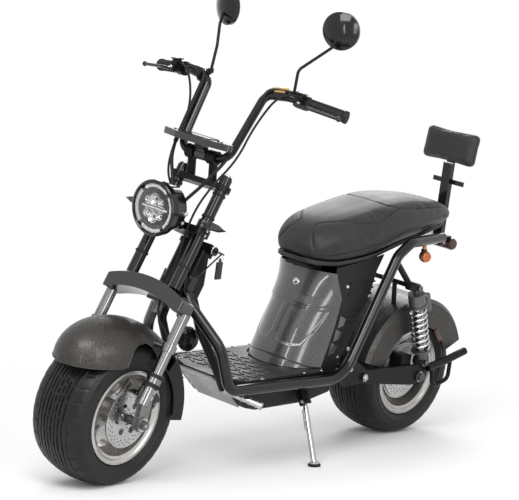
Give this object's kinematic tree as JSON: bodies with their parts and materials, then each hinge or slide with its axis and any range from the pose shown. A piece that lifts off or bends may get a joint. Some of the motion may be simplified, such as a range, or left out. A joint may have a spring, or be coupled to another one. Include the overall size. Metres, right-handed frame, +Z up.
{
  "type": "electric scooter",
  "caption": "Fat-tyred two-wheel electric city scooter leaning on its side stand, with tall bars, low floor, padded seat and backrest.",
  "frame": {"origin": "centre of the base of the bounding box, on the ground", "axes": "+X forward, +Y to the rider's left, +Z up; parked, so the machine leans towards +Y on its side stand"},
  "size_m": [1.7557, 0.763, 1.4606],
  "materials": {
    "tyre_rubber": "matt",
    "cast_alloy": "satin",
    "bright_metal": "polished",
    "black_paint": "gloss",
    "black_matt_plastic": "matt",
    "black_gloss_plastic": "gloss",
    "grey_plastic": "gloss",
    "seat_cover": "grained",
    "black_rubber": "matt",
    "clear_lens": "clear",
    "smoke_lens": "gloss",
    "amber_lens": "gloss",
    "red_lens": "gloss",
    "grey_metal": "satin"
  },
  "bodies": {
    "frame": {"rails": "black_paint", "head_tube": "black_paint", "neck": "black_paint", "down_tubes": "grey_metal", "shock_frame": "black_paint", "deck_brackets": "black_paint", "floor_deck": "black_matt_plastic", "floor_mat": "black_rubber", "belly_tub": "black_matt_plastic", "skid_plate": "grey_plastic", "tower_front": "black_gloss_plastic", "side_covers": "black_matt_plastic", "tower_frame": "black_matt_plastic", "battery": "black_matt_plastic", "backrest_post": "black_paint", "backrest_pad": "seat_cover", "rear_fender": "black_gloss_plastic", "swing_arm": "black_paint", "rear_axle": "bright_metal", "shock_bodies": "black_paint", "shock_springs": "bright_metal", "foot_pegs": "bright_metal", "horn": "black_matt_plastic", "tail_lamp": "red_lens", "rear_indicators": "amber_lens", "rear_guards": "black_paint", "rear_caliper": "cast_alloy", "key_set": "black_matt_plastic"},
    "steering": {"steering_stem": "bright_metal", "lower_crown": "black_gloss_plastic", "upper_yoke": "black_paint", "bar_bridge": "black_paint", "handlebar": "black_paint", "grips": "black_rubber", "lever_perches": "black_matt_plastic", "brake_levers": "black_paint", "mirror_stems": "black_paint", "mirror_heads": "black_gloss_plastic", "display": "black_matt_plastic", "upper_tubes": "black_paint", "fork_legs": "bright_metal", "fork_lowers": "cast_alloy", "front_axle": "bright_metal", "front_caliper": "cast_alloy", "front_fender": "black_gloss_plastic", "front_mud_flap": "black_matt_plastic", "headlamp_shell": "black_matt_plastic", "headlamp_lens": "clear_lens", "front_indicators": "smoke_lens", "brake_cables": "black_rubber"},
    "front_wheel": {"front_tyre": "tyre_rubber", "front_rim": "cast_alloy", "front_disc": "bright_metal"},
    "rear_wheel": {"rear_tyre": "tyre_rubber", "hub_motor": "cast_alloy", "rear_disc": "bright_metal"},
    "side_stand": {"side_stand": "bright_metal"},
    "seat": {"seat_pan": "black_matt_plastic", "seat_cushion": "seat_cover"}
  },
  "joints": [
    {"name": "steering_turn", "type": "hinge", "parent": "frame", "child": "steering", "pos_m": [0.748, -0.18, 0.00275], "axis": [-0.454, 0.1317, 0.8812], "range_deg": [-40, 31]},
    {"name": "front_wheel_spin", "type": "hinge", "parent": "steering", "child": "front_wheel", "pos_m": [0.65795, -0.14596, 0.22007], "axis": [-0.0699, 0.9807, -0.1826], "continuous": true},
    {"name": "rear_wheel_spin", "type": "hinge", "parent": "frame", "child": "rear_wheel", "pos_m": [-0.642, -0.14748, 0.22033], "axis": [0, 0.989, -0.1478], "continuous": true},
    {"name": "stand_fold", "type": "hinge", "parent": "frame", "child": "side_stand", "pos_m": [-0.056, 0.00305, 0.1857], "axis": [0.0592, 0.8628, 0.5021], "range_deg": [0, 101]},
    {"name": "seat_lift", "type": "hinge", "parent": "frame", "child": "seat", "pos_m": [-0.116, -0.08954, 0.60802], "axis": [0, 0.989, -0.1478], "range_deg": [0, 60]}
  ]
}
